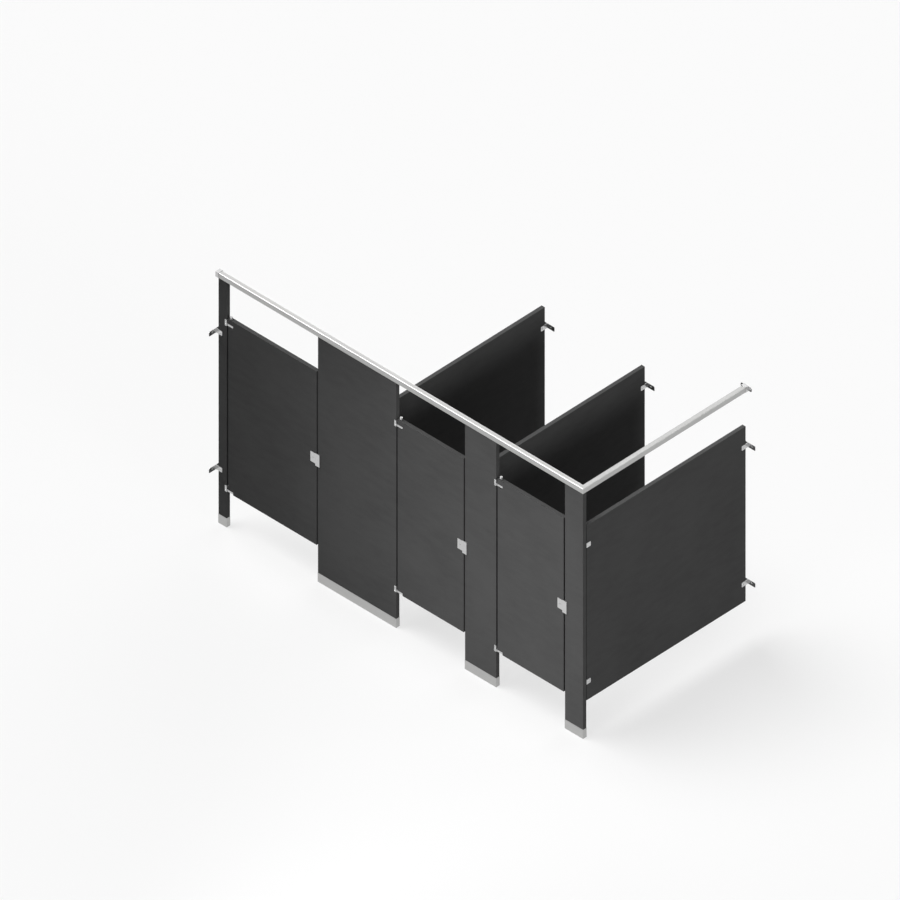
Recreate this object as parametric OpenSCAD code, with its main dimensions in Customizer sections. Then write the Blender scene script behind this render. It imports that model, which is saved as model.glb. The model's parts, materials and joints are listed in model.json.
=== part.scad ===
// Bathroom stall partition: a row of three stalls for a corner.
// Four pilasters stand in a line, three doors hang between them, three divider panels run
// back from them, and a headrail ties the pilaster tops to the planes that the row is fixed
// to: the side plane, at the left end of the row, and the rear plane, behind the panels.
// X runs along the row from the side plane, Y from the front to the rear plane, Z up.
// The origin is at the foot of the row, under the middle of it. Sizes are millimetres.

/* [Row] */
// Gap from the side plane to the first pilaster, and from a panel to the rear plane
wall_gap = 24; // [16:1:40]
// Gap between a door and the pilaster on each side of it
door_gap = 14; // [12:1:20]
// Clear height under the panels
floor_gap = 305; // [230:1:330]

/* [Doors] */
// Clear height under the doors
door_lift = 300; // [230:1:330]
// Height of the doors
door_h = 1464; // [1372:1:1550]
// Width of the first door, the wide one
door_1_w = 825; // [760:1:960]
// Width of the second door
door_2_w = 616; // [560:1:760]
// Width of the third door
door_3_w = 616; // [560:1:760]

/* [Pilasters] */
// Width of the first pilaster, beside the side plane
pilaster_1_w = 76; // [76:1:200]
// Width of the second pilaster
pilaster_2_w = 730; // [400:1:900]
// Width of the third pilaster
pilaster_3_w = 290; // [230:1:500]
// Width of the fourth pilaster, at the free corner
pilaster_4_w = 168; // [110:1:300]
// Height of the pilaster tops above the ground
pilaster_top = 2083; // [2020:1:2300]
// Thickness of the pilasters
pilaster_t = 31.75; // [29:0.25:38]
// Height of the pilaster bottoms above the ground, where the levelling bar sits
pilaster_lift = 40; // [32:1:48]

/* [Panels] */
// Length of the divider panels, front to back
panel_len = 1524; // [1372:1:1700]
// Height of the panels
panel_h = 1473; // [1372:1:1550]
// Thickness of the panels and doors
panel_t = 30; // [24:0.1:31]
// From the right edge of a middle pilaster to the right face of its panel
panel_inset = 130; // [60:1:180]
// Thickness of the steel face sheets of panels, doors and pilasters
skin_t = 0.8; // [0.6:0.1:1.2]

/* [Honeycomb] */
// Width of one cell of the honeycomb core, flat to flat
cell_w = 110; // [80:5:150]
// Wall between two cells
cell_wall = 8; // [4:1:12]
// Solid rim around each block of honeycomb
core_rim = 12; // [8:1:24]

/* [Shoes and levelling] */
// Height of the shoe around each pilaster foot
shoe_h = 76; // [70:1:110]
// Sheet thickness of the shoe
shoe_t = 1; // [0.8:0.1:2]
// Clearance between a shoe and its pilaster
shoe_fit = 0.4; // [0.2:0.1:0.8]
// Thickness of the levelling bar under each pilaster
bar_t = 10; // [8:1:14]
// Radius of the levelling studs
stud_r = 5; // [4:0.5:6]
// From a pilaster's side edge to its levelling stud
stud_inset = 24; // [21:1:24]

/* [Headrail] */
// Height of the headrail section
rail_h = 40; // [36:1:50]
// How far the headrail laps down over the pilaster tops
rail_lap = 15; // [12:1:18]
// Sheet thickness of the headrail section
rail_wall = 2; // [1.5:0.1:2.5]
// Clearance between the headrail's lips and a pilaster
rail_fit = 1.1; // [0.5:0.1:1.5]
// Radius along the headrail's top edge on the outside
rail_nose_r = 6; // [5:0.5:12]
// Radius along the headrail's top edge on the inside
rail_back_r = 5; // [4:0.5:8]
// How far an end cup reaches along the headrail
cup_depth = 28; // [20:1:36]
// Sheet thickness of the end cup
cup_t = 2.5; // [2:0.1:4]
// Reach of an end cup's ear beside the headrail
cup_ear = 30; // [26:1:50]
// From the side of an end cup to the screw hole in its ear
cup_hole_out = 17; // [12:1:20]

/* [Brackets] */
// Height of the lower brackets above the panel bottom
bracket_rise = 155; // [120:1:200]
// Depth of the upper brackets below the panel top
bracket_drop = 165; // [130:1:200]
// Height of a bracket
bracket_h = 38; // [32:1:50]
// Thickness of a bracket's plates
bracket_t = 3; // [2.5:0.1:4]
// Width of each flange of an end bracket
wall_flange_w = 66; // [40:1:76]
// Radius of the screw holes in flanges and cup ears
wall_hole_r = 3.5; // [3:0.1:4.5]
// Length of an end bracket's ears on a panel
panel_ear = 40; // [34:1:60]
// Length of an end bracket's ears on the first pilaster
pilaster_ear = 36; // [34:1:50]
// Length of the ears between a pilaster and its panel
front_ear = 40; // [36:1:60]
// Radius of the through bolts
bolt_r = 3.2; // [2.5:0.1:3.5]

/* [Hinges] */
// From a door's hinge edge to its pivot line
pivot_inset = 18; // [16:0.5:20]
// Width of a hinge flange on the pilaster's face
hinge_flange_w = 14; // [12:1:26]
// Height of a hinge flange
hinge_flange_h = 50; // [44:1:84]
// Thickness of a hinge flange
hinge_flange_t = 3.5; // [3:0.1:5]
// From the door top down to the top hinge's flange
hinge_drop = 12; // [8:1:20]
// Height of the hinge arm
arm_h = 17; // [14:1:22]
// Width of the hinge arm, across the door's thickness
arm_w = 23; // [18:0.5:24]
// Reach of the hinge arm past the pivot line
arm_reach = 24; // [22:1:34]
// Radius of the top hinge pin
pin_r = 5; // [4:0.1:6]
// Radius of the head of the top hinge pin
pin_head_r = 10; // [8:0.5:11]
// Height of the pin's head
pin_head_h = 12; // [6:1:16]
// From the door top up to the pin's head
pin_neck_h = 10; // [4:1:14]
// Radius of the bottom hinge's pintle
pintle_r = 6; // [5:0.1:7]

/* [Latch] */
// Height of the latch above the ground
latch_z = 1026; // [950:1:1100]
// Width of the outside latch plate
plate_w = 47; // [40:1:60]
// Height of the outside latch plate
plate_h = 84; // [70:1:100]
// From a door's latch edge to the outside plate
plate_inset = 8; // [8:1:24]
// Height of the keeper on the pilaster
keeper_h = 103; // [90:1:120]
// Width of the keeper on the pilaster's face
keeper_w = 19; // [14:1:24]
// How far the keeper stands out in front of the pilaster
keeper_proud = 6; // [5.5:0.5:20]
// How far the keeper laps over the door, as its stop
keeper_lap = 6; // [5:1:7]
// Travel of the latch bolt
bolt_travel = 28; // [24:1:30]
// Height of the latch bolt
latch_bolt_h = 12; // [10:1:14]
// Thickness of the latch bolt
latch_bolt_t = 8; // [6:1:10]
// Length of the latch case on the inside of the door
case_w = 76; // [70:1:90]
// From the door top down to the coat hook
hook_drop = 100; // [80:1:160]

/* [Hidden] */
$fn = 48;
DOOR_W = [door_1_w, door_2_w, door_3_w];
PILASTER_W = [pilaster_1_w, pilaster_2_w, pilaster_3_w, pilaster_4_w];
eps = 1; // how far a cutting shape runs past a face

charcoal = [0.30, 0.31, 0.32];
steel = [0.74, 0.75, 0.76];
bright = [0.86, 0.87, 0.88];
card = [0.72, 0.60, 0.42];
black = [0.08, 0.08, 0.08];
nylon = [0.90, 0.89, 0.86];

// The headrail's section and how far the end cups and brackets stand out beside the row
rail_w = pilaster_t + 2 * (rail_fit + rail_wall);
rail_z = pilaster_top - rail_lap;
rail_top = rail_z + rail_h;
cup_w = rail_w + 2 * cup_t;
cup_reach = cup_w / 2 + cup_ear - pilaster_t / 2;
cup_hole = cup_w / 2 + cup_hole_out;
flange_reach = max(bracket_t + wall_flange_w, cup_reach);

// The whole row, centred over the origin
row_w = wall_gap + sum_to(PILASTER_W, 4) + sum_to(DOOR_W, 3) + 6 * door_gap;
front_gap = bracket_t + 1;
row_d = pilaster_t + front_gap + panel_len + wall_gap;
side_wall_x = -(row_w + flange_reach) / 2;
rear_wall_y = (row_d + flange_reach) / 2;
row_end_x = side_wall_x + row_w;

// The planes of the front
front_y = rear_wall_y - row_d;
back_y = front_y + pilaster_t;
mid_y = front_y + pilaster_t / 2;
door_front_y = mid_y - panel_t / 2;
door_back_y = mid_y + panel_t / 2;
panel_y = back_y + front_gap;
panel_end_y = panel_y + panel_len;
panel_top = floor_gap + panel_h;
door_top = door_lift + door_h;
BRACKET_Z = [floor_gap + bracket_rise, panel_top - bracket_drop];
side_rail_x = row_end_x - pilaster_t / 2;

// Screws and their clearance
screw_r = 2.4;
screw_head_r = 4.2;
screw_head_h = 2;
screw_taper = 1.2; // a screw head's radius is this much smaller at its outer end
screw_len = 12;
screw_fit = 0.25;
small_r = 2;
small_head_r = 3.8;
small_len = 10;
bolt_head_r = 6.5;
bolt_head_h = 2.5;
bolt_taper = 1.5;
csk_depth = 2.2;
csk_dz = 9;
bolt_inset = 15;
plate_r = 6;
wide_pilaster = 220; // from this width on, a pilaster has two screws in a row instead of one
wide_inset = 40;
shoe_screw_z = pilaster_lift + (shoe_h - pilaster_lift) / 2;
core_gap = 30; // core left out above and below each line of fasteners
edge_gap = 28; // core left out along the pilaster edges, for the hinge and keeper screws

// Levelling bar, nut and washer
bar_in = 6;
bar_w = 24;
nut_r = stud_r + 4.5;
nut_h = 8;
washer_r = stud_r + 6;
washer_h = 3;
collar_r = stud_r + 3;
collar_h = 1;

// Headrail corner and cups
corner_leg = 70;
cup_ear_cut = 4; // the ears are this much lower than the headrail
cup_ear_flat = 8; // straight part of an ear's outer end
cup_hole_in = 9; // from the headrail's middle to a screw hole inside it

// Hinges
running = 0.05; // radial clearance of a turning fit
seat = 0.3; // gap between faces that slide or turn on each other
arm_fit = 4;
edge_t = 3;
top_arm_z = door_top - hinge_drop - hinge_flange_h;
notch_z = top_arm_z - arm_fit;
notch_h = arm_h + 2 * arm_fit;
notch_end = 3; // between the arm's end and the end of its notch
notch_len = pivot_inset + arm_reach + notch_end;
arm_gap = 2; // between the bottom arm and the door above it
hinge_lift = 3; // from the door's bottom up to the bottom hinge
bottom_arm_z = door_lift + hinge_lift;
bottom_arm_top = bottom_arm_z + arm_h;
corner_h = hinge_lift + arm_h + arm_gap; // height of the cut in the door's bottom corner
pin_tail = 8;
pin_collar_r = pin_r + 2;
pin_collar_h = 2;
pin_neck_r = 3;
pin_taper = 2;
pintle_h = 20;
pintle_end = 1; // between the pintle's end and the bottom of its hole
cam_r = pintle_r + 5;
cam_h = pintle_h + 4;
cam_z = bottom_arm_top + seat;
hinge_screw_inset = 10;
hinge_screw_dz = hinge_flange_h / 2 - hinge_screw_inset;

// Latch
bolt_air = 2.2; // between the latch bolt and the keeper's slot
keeper_t = 3;
latch_bolt_y = back_y + keeper_t + bolt_air;
bolt_guide = 22; // length of bolt that stays inside the case
latch_bolt_len = bolt_travel + bolt_guide;
case_wall = 4;
case_t = latch_bolt_y + latch_bolt_t + seat + case_wall - door_back_y;
case_h = 64;
case_end = 1; // from the door's edge to the end of the case
keeper_rise = 8; // from the top of the outside plate up to the keeper's
keeper_top = latch_z + plate_h / 2 + keeper_rise;
slot_h = latch_bolt_h + 6;
loop_w = 16;
loop_h = slot_h + 10;
loop_t = latch_bolt_t + 2 * bolt_air + 4;
keeper_back_w = 30;
keeper_screw_inset = 9;
keeper_screw_dz = loop_h / 2 + 12;
strip_h = 60;
plate_t = 2.5;
plate_corner = 4;
coin_w = 14;
coin_h = 3;
coin_r = 1.4;
post_r = 3.6;
post_dz = 24;
thread_len = 12;
stem_r = 3;
stem_inset = 38;
knob_r = 8;
knob_h = 12;
knob_rim = knob_h / 3;
knob_taper = 2.5;

// Coat hook
hook_z = door_top - hook_drop;
hook_plate_w = 26;
hook_plate_h = 50;
hook_plate_t = 3;
hook_corner = 5;
hook_screw_dz = 18;
hook_rod_r = 4;
hook_ball_r = 5.5;
hook_reach = 30;
hook_bend_r = 12;
hook_rise = 14;

// Places along the row. Pilasters are 1 to 4, doors 1 to 3, and panel n stands behind
// pilaster n + 1. Door n hangs on pilaster n and closes against pilaster n + 1.

// Sum of the first n numbers of a list
function sum_to(list, n) = n == 0 ? 0 : list[n - 1] + sum_to(list, n - 1);

// Width and left edge of pilaster n
function pilaster_w(n) = PILASTER_W[n - 1];
function pilaster_x(n) =
    side_wall_x + wall_gap + sum_to(PILASTER_W, n - 1) + sum_to(DOOR_W, n - 1) + 2 * (n - 1) * door_gap;

// Right edge of pilaster n
function pilaster_end(n) = pilaster_x(n) + pilaster_w(n);

// Width, hinge edge, latch edge and pivot line of door n
function door_w(n) = DOOR_W[n - 1];
function door_x(n) = pilaster_end(n) + door_gap;
function door_end(n) = door_x(n) + door_w(n);
function pivot_x(n) = door_x(n) + pivot_inset;

// Middle of the thickness of panel n. The last one is flush with the end of its pilaster.
function panel_x(n) = pilaster_end(n + 1) - (n == 3 ? 0 : panel_inset) - panel_t / 2;

// Where the screws through the headrail and the shoe go: two on a wide pilaster, one on a narrow one
function screw_xs(n) =
    pilaster_w(n) >= wide_pilaster
        ? [pilaster_x(n) + wide_inset, pilaster_end(n) - wide_inset]
        : [(pilaster_x(n) + pilaster_end(n)) / 2];

// Flat rectangle about the origin with round corners
module rounded_rect(w, h, r) {
    square([w - 2 * r, h], center = true);
    square([w, h - 2 * r], center = true);
    for (sx = [-1, 1], sy = [-1, 1])
        translate([sx * (w / 2 - r), sy * (h / 2 - r)]) circle(r = r);
}

// Flat strip from the origin along +X, with round corners at its far end
module tongue(l, h, r) {
    translate([0, -h / 2]) square([l - r, h]);
    translate([0, -h / 2 + r]) square([l, h - 2 * r]);
    for (s = [-1, 1]) translate([l - r, s * (h / 2 - r)]) circle(r = r);
}

// Closed box of sheet metal, hollow inside, that lies at the origin
module skin_box(size) {
    difference() {
        cube(size);
        translate([skin_t, skin_t, skin_t]) cube(size - 2 * skin_t * [1, 1, 1]);
    }
}

// Block of honeycomb in the XZ plane at the origin: a solid rim with whole hexagonal cells in it
module honeycomb(w, t, h) {
    across = min(cell_w, w - 2 * core_rim, h - 2 * core_rim);
    pitch_x = across + cell_wall;
    pitch_z = pitch_x * sqrt(3) / 2;
    corner = across / sqrt(3);
    columns = floor((w - 2 * core_rim + cell_wall) / pitch_x);
    rows = floor((h - 2 * core_rim - 2 * corner) / pitch_z) + 1;
    x0 = (w - (columns - 1) * pitch_x) / 2;
    z0 = (h - (rows - 1) * pitch_z) / 2;
    rotate([90, 0, 0]) translate([0, 0, -t]) linear_extrude(t) difference() {
        square([w, h]);
        if (across > cell_wall)
            for (row = [0 : rows - 1], column = [0 : columns - 1 - row % 2])
                translate([x0 + (column + row % 2 / 2) * pitch_x, z0 + row * pitch_z])
                    rotate(30) circle(r = corner, $fn = 6);
    }
}

// Round-headed screw: its head stands on the XY plane and its shank goes down.
// grow widens the shank alone, to bore the hole that it passes through.
module pan_screw(l, grow = 0, r = screw_r, head_r = screw_head_r) {
    translate([0, 0, -l]) cylinder(h = l, r = r + grow);
    if (grow == 0) cylinder(h = screw_head_h, r1 = head_r, r2 = head_r - screw_taper);
}

// Flat-headed screw, sunk level with the XY plane
module csk_screw(l, grow = 0) {
    translate([0, 0, -l]) cylinder(h = l, r = screw_r + grow);
    translate([0, 0, -csk_depth])
        cylinder(h = csk_depth, r1 = screw_r + grow, r2 = screw_r + csk_depth + grow);
}

// Through bolt along Z about the origin, over a stack of thickness t, with a head at both ends
module through_bolt(t, grow = 0) {
    cylinder(h = t + 2 * (grow > 0 ? eps : 0), r = bolt_r + grow, center = true);
    if (grow == 0)
        for (turn = [0, 180]) rotate([turn, 0, 0]) translate([0, 0, t / 2])
            cylinder(h = bolt_head_h, r1 = bolt_head_r, r2 = bolt_head_r - bolt_taper);
}

// Turns a shape whose axis is +Z so that it points out of the back (+Y) or the front (-Y)
module facing_back() {
    rotate([-90, 0, 0]) children();
}
module facing_front() {
    rotate([90, 0, 0]) children();
}

// Screws of pilaster n: through the headrail's inner lip, and through the back of the shoe
module rail_screws(n, grow = 0) {
    for (x = screw_xs(n)) translate([x, mid_y + rail_w / 2, pilaster_top - rail_lap / 2])
        facing_back() pan_screw(screw_len, grow);
}
module shoe_screws(n, grow = 0) {
    for (x = screw_xs(n)) translate([x, back_y + shoe_fit + shoe_t, shoe_screw_z])
        facing_back() pan_screw(screw_len, grow);
}

// Screws that hold the two hinge brackets of door n to pilaster n
module hinge_screws(n, grow = 0) {
    for (z = [top_arm_z, bottom_arm_z], s = [-1, 1])
        translate([
            pilaster_end(n) - hinge_flange_w / 2,
            front_y - hinge_flange_t,
            z + hinge_flange_h / 2 + s * hinge_screw_dz
        ])
            facing_front() pan_screw(screw_len, grow);
}

// Screws that hold the keeper of door n to the back of pilaster n + 1
module keeper_screws(n, grow = 0) {
    for (s = [-1, 1])
        translate([
            pilaster_x(n + 1) + keeper_back_w - keeper_screw_inset,
            back_y + keeper_t,
            latch_z + s * keeper_screw_dz
        ])
            facing_back() pan_screw(screw_len, grow);
}

// Sunk screws that hold the brackets of panel n to the back of pilaster n + 1
module front_bracket_screws(n, grow = 0) {
    for (z = BRACKET_Z, s = [-1, 1])
        translate([panel_x(n), back_y + bracket_t, z + s * csk_dz])
            facing_back() csk_screw(screw_len, grow);
}

// Through bolts of panel n: at its front brackets and at its end brackets
module panel_bolts(n, grow = 0) {
    for (z = BRACKET_Z, y = [back_y + front_ear - bolt_inset, panel_end_y - panel_ear + bolt_inset])
        translate([panel_x(n), y, z]) rotate([0, 90, 0])
            through_bolt(panel_t + 2 * bracket_t, grow);
}

// Through bolts of the first pilaster at its end brackets
module pilaster_bolts(grow = 0) {
    for (z = BRACKET_Z)
        translate([pilaster_x(1) + pilaster_ear - bolt_inset, mid_y, z]) facing_back()
            through_bolt(pilaster_t + 2 * bracket_t, grow);
}

// Pilaster n: a closed steel skin, with holes for the screws and bolts that pass it
module pilaster(n) {
    color(charcoal) difference() {
        translate([pilaster_x(n), front_y, pilaster_lift])
            skin_box([pilaster_w(n), pilaster_t, pilaster_top - pilaster_lift]);
        rail_screws(n, screw_fit);
        shoe_screws(n, screw_fit);
        if (n < 4) hinge_screws(n, screw_fit);
        if (n > 1) keeper_screws(n - 1, screw_fit);
        if (n > 1) front_bracket_screws(n - 1, screw_fit);
        if (n == 1) pilaster_bolts(screw_fit);
    }
}

// Honeycomb inside pilaster n, in three blocks that leave the rows of fasteners free
module pilaster_core(n) {
    bottoms = [shoe_screw_z + core_gap, BRACKET_Z[0] + core_gap, BRACKET_Z[1] + core_gap];
    tops = [BRACKET_Z[0] - core_gap, BRACKET_Z[1] - core_gap, pilaster_top - rail_lap - core_gap];
    side = min(edge_gap, pilaster_w(n) / 3);
    for (i = [0 : 2])
        translate([pilaster_x(n) + side, front_y + skin_t, bottoms[i]])
            honeycomb(pilaster_w(n) - 2 * side, pilaster_t - 2 * skin_t, tops[i] - bottoms[i]);
}
module pilaster_cores() {
    color(card) for (n = [1 : 4]) pilaster_core(n);
}

// Divider panel n
module panel(n) {
    color(charcoal) difference() {
        translate([panel_x(n) - panel_t / 2, panel_y, floor_gap])
            skin_box([panel_t, panel_len, panel_h]);
        panel_bolts(n, screw_fit);
    }
}

// Honeycomb inside the panels, in three blocks each
module panel_cores() {
    bottoms = [floor_gap + skin_t, BRACKET_Z[0] + core_gap, BRACKET_Z[1] + core_gap];
    tops = [BRACKET_Z[0] - core_gap, BRACKET_Z[1] - core_gap, panel_top - skin_t];
    color(card) for (n = [1 : 3], i = [0 : 2])
        translate([panel_x(n) + panel_t / 2 - skin_t, panel_y + skin_t, bottoms[i]])
            rotate([0, 0, 90])
                honeycomb(panel_len - 2 * skin_t, panel_t - 2 * skin_t, tops[i] - bottoms[i]);
}

// Shoe n: a square sleeve round the foot of pilaster n, standing on the ground
module shoe(n) {
    out = shoe_fit + shoe_t;
    color(steel) difference() {
        translate([pilaster_x(n) - out, front_y - out, 0])
            cube([pilaster_w(n) + 2 * out, pilaster_t + 2 * out, shoe_h]);
        translate([pilaster_x(n) - shoe_fit, front_y - shoe_fit, -eps])
            cube([pilaster_w(n) + 2 * shoe_fit, pilaster_t + 2 * shoe_fit, shoe_h + 2 * eps]);
        shoe_screws(n, screw_fit);
    }
}

// Where the levelling studs of pilaster n stand
function stud_xs(n) = [pilaster_x(n) + stud_inset, pilaster_end(n) - stud_inset];

// Bar under each pilaster that its studs carry
module levelling_bars() {
    color(steel) for (n = [1 : 4]) difference() {
        translate([pilaster_x(n) + bar_in, mid_y - bar_w / 2, pilaster_lift - bar_t])
            cube([pilaster_w(n) - 2 * bar_in, bar_w, bar_t]);
        for (x = stud_xs(n)) translate([x, mid_y, 0])
            cylinder(h = pilaster_lift + eps, r = stud_r + screw_fit);
    }
}

// Studs that stand on the ground and end inside the bars
module floor_studs() {
    color(steel) for (n = [1 : 4], x = stud_xs(n)) translate([x, mid_y, 0])
        cylinder(h = pilaster_lift - seat, r = stud_r);
}

// A nut under each bar and a flanged washer on the ground, round each stud
module levelling_nuts() {
    color(steel) for (n = [1 : 4], x = stud_xs(n)) translate([x, mid_y, 0]) difference() {
        union() {
            cylinder(h = washer_h, r = washer_r);
            translate([0, 0, washer_h]) cylinder(h = collar_h, r = collar_r);
            translate([0, 0, pilaster_lift - bar_t - nut_h]) cylinder(h = nut_h, r = nut_r, $fn = 6);
        }
        translate([0, 0, -eps]) cylinder(h = pilaster_lift, r = stud_r + running);
    }
}

// Outline of the headrail drawn in by d, from height z0 up. The nose is at -X.
module rail_outline(d, z0) {
    nose = rail_nose_r - d;
    back = rail_back_r - d;
    left = -rail_w / 2 + d;
    right = rail_w / 2 - d;
    top = rail_h - d;
    translate([left, z0]) square([right - left, top - nose - z0]);
    translate([left + nose, z0]) square([right - back - left - nose, top - z0]);
    translate([left + nose, z0]) square([right - left - nose, top - back - z0]);
    translate([left + nose, top - nose]) circle(r = nose);
    translate([right - back, top - back]) circle(r = back);
}

// Section of the headrail: an open channel over the pilasters and a closed chamber above it
module rail_section() {
    difference() {
        rail_outline(0, 0);
        translate([-rail_w / 2 + rail_wall, -eps]) square([rail_w - 2 * rail_wall, rail_lap + eps]);
        rail_outline(rail_wall, rail_lap + rail_wall);
    }
}

// The half of space past the mitre at the free corner: side = 1 behind it, side = -1 before it
module past_mitre(side) {
    big = 3 * rail_w;
    translate([side_rail_x, mid_y, rail_z - eps]) rotate([0, 0, side > 0 ? 45 : 225])
        translate([0, -big, 0]) cube([big, 2 * big, rail_h + 2 * eps]);
}

module headrail_front() {
    start = side_wall_x + cup_t;
    color(steel) difference() {
        translate([start, mid_y, rail_z]) rotate([90, 0, 90])
            linear_extrude(side_rail_x + rail_w / 2 - start) rail_section();
        past_mitre(1);
        for (n = [1 : 4]) rail_screws(n, screw_fit);
    }
}

module headrail_side() {
    start = mid_y - rail_w / 2;
    color(steel) difference() {
        translate([side_rail_x, start, rail_z]) rotate([90, 0, 180])
            linear_extrude(rear_wall_y - cup_t - start) rail_section();
        past_mitre(-1);
    }
}

// Block inside the two headrails that joins them at the corner
module headrail_corner_block() {
    w = rail_w - 2 * rail_nose_r;
    h = rail_h - rail_lap - 2 * rail_wall - rail_fit;
    color(steel) translate([side_rail_x, mid_y, rail_z + rail_lap + rail_wall]) {
        translate([-corner_leg, -w / 2, 0]) cube([corner_leg + w / 2, w, h]);
        translate([-w / 2, -w / 2, 0]) cube([w, corner_leg + w / 2, h]);
    }
}

// Cup that takes the end of a headrail. It stands on the plane Y = 0 and reaches to -Y.
// Its screws go through ears beside the headrail, or inside the headrail's closed chamber.
module wall_cup(ears) {
    ear_h = rail_h - cup_ear_cut;
    hole_x = ears ? cup_hole : cup_hole_in;
    hole_z = (ears ? rail_h : rail_h + rail_lap) / 2;
    difference() {
        union() {
            if (ears)
                rotate([90, 0, 0]) translate([0, rail_h / 2, 0]) linear_extrude(cup_t)
                    rounded_rect(cup_w + 2 * cup_ear, ear_h, (ear_h - cup_ear_flat) / 2);
            translate([-cup_w / 2, -cup_depth, 0]) cube([cup_w, cup_depth, rail_h + cup_t]);
        }
        translate([-rail_w / 2, -cup_depth - eps, -eps])
            cube([rail_w, cup_depth + eps - cup_t, rail_h + eps]);
        for (s = [-1, 1]) translate([s * hole_x, eps, hole_z]) rotate([90, 0, 0])
            cylinder(h = cup_t + 2 * eps, r = wall_hole_r);
    }
}

module headrail_wall_cups() {
    color(bright) {
        translate([side_wall_x, mid_y, rail_z]) rotate([0, 0, 90]) wall_cup(false);
        translate([side_rail_x, rear_wall_y, rail_z]) wall_cup(true);
    }
}

// Stirrup bracket round a sheet of thickness t: two ears of length l and a plate that stands
// on the plane Y = 0 and reaches to -Y. With a flange it has screw holes there, and
// without one it has two sunk screw holes between the ears.
module stirrup(t, l, flange) {
    difference() {
        union() {
            rotate([90, 0, 0]) linear_extrude(bracket_t)
                if (flange > 0) rounded_rect(t + 2 * (bracket_t + flange), bracket_h, plate_r);
                else square([t + 2 * bracket_t, bracket_h], center = true);
            for (s = [-1, 1]) translate([s * (t + bracket_t) / 2, 0, 0]) rotate([90, 0, -90])
                linear_extrude(bracket_t, center = true) tongue(l, bracket_h, plate_r);
        }
        if (flange > 0)
            for (s = [-1, 1]) translate([s * flange_hole(t, flange), eps, 0]) rotate([90, 0, 0])
                cylinder(h = bracket_t + 2 * eps, r = wall_hole_r);
        else
            for (s = [-1, 1]) translate([0, -bracket_t, s * csk_dz])
                rotate([90, 0, 0]) csk_screw(bracket_t + eps, running);
        translate([0, -l + bolt_inset, 0]) rotate([0, 90, 0])
            cylinder(h = t + 2 * bracket_t + 2 * eps, r = bolt_r + screw_fit, center = true);
    }
}

// From the middle of an end bracket to the screw hole in its flange
function flange_hole(t, flange) = t / 2 + bracket_t + flange / 2;

module panel_wall_brackets() {
    color(bright) for (n = [1 : 3], z = BRACKET_Z)
        translate([panel_x(n), rear_wall_y, z])
            stirrup(panel_t, wall_gap + panel_ear, wall_flange_w);
}

module pilaster_wall_brackets() {
    color(bright) for (z = BRACKET_Z)
        translate([side_wall_x, mid_y, z]) rotate([0, 0, 90])
            stirrup(pilaster_t, wall_gap + pilaster_ear, wall_flange_w);
}

module pilaster_panel_brackets() {
    color(bright) for (n = [1 : 3], z = BRACKET_Z)
        translate([panel_x(n), back_y, z]) rotate([0, 0, 180])
            stirrup(panel_t, front_ear, 0);
}

module bracket_bolts() {
    color(bright) {
        for (n = [1 : 3]) panel_bolts(n);
        pilaster_bolts();
    }
}

module bracket_screws() {
    color(bright) for (n = [1 : 3]) front_bracket_screws(n);
}

module pan_screws() {
    color(bright) {
        for (n = [1 : 4]) rail_screws(n);
        for (n = [1 : 4]) shoe_screws(n);
        for (n = [1 : 3]) hinge_screws(n);
        for (n = [1 : 3]) keeper_screws(n);
    }
}

// Flange on the pilaster's face, a web round its edge, and an arm to and past the pivot line,
// all with their bottoms at height z
module hinge_bracket(n, z) {
    edge_x = pilaster_end(n);
    translate([edge_x - hinge_flange_w, front_y - hinge_flange_t, z])
        cube([hinge_flange_w + edge_t, hinge_flange_t, hinge_flange_h]);
    translate([edge_x, front_y - hinge_flange_t, z])
        cube([edge_t, mid_y + arm_w / 2 - front_y + hinge_flange_t, hinge_flange_h]);
    translate([edge_x, mid_y - arm_w / 2, z])
        cube([door_gap + pivot_inset + arm_reach - arm_w / 2, arm_w, arm_h]);
    translate([pivot_x(n) + arm_reach - arm_w / 2, mid_y, z])
        cylinder(h = arm_h, r = arm_w / 2);
}

module top_hinge_brackets() {
    color(bright) for (n = [1 : 3]) difference() {
        hinge_bracket(n, top_arm_z);
        translate([pivot_x(n), mid_y, top_arm_z - eps])
            cylinder(h = arm_h + 2 * eps, r = pin_r + running);
        hinge_screws(n, screw_fit);
    }
}

// The bottom brackets carry a pintle that the door turns on
module bottom_hinge_brackets() {
    color(bright) for (n = [1 : 3]) difference() {
        union() {
            hinge_bracket(n, bottom_arm_z);
            translate([pivot_x(n), mid_y, bottom_arm_top]) cylinder(h = pintle_h, r = pintle_r);
        }
        hinge_screws(n, screw_fit);
    }
}

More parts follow.
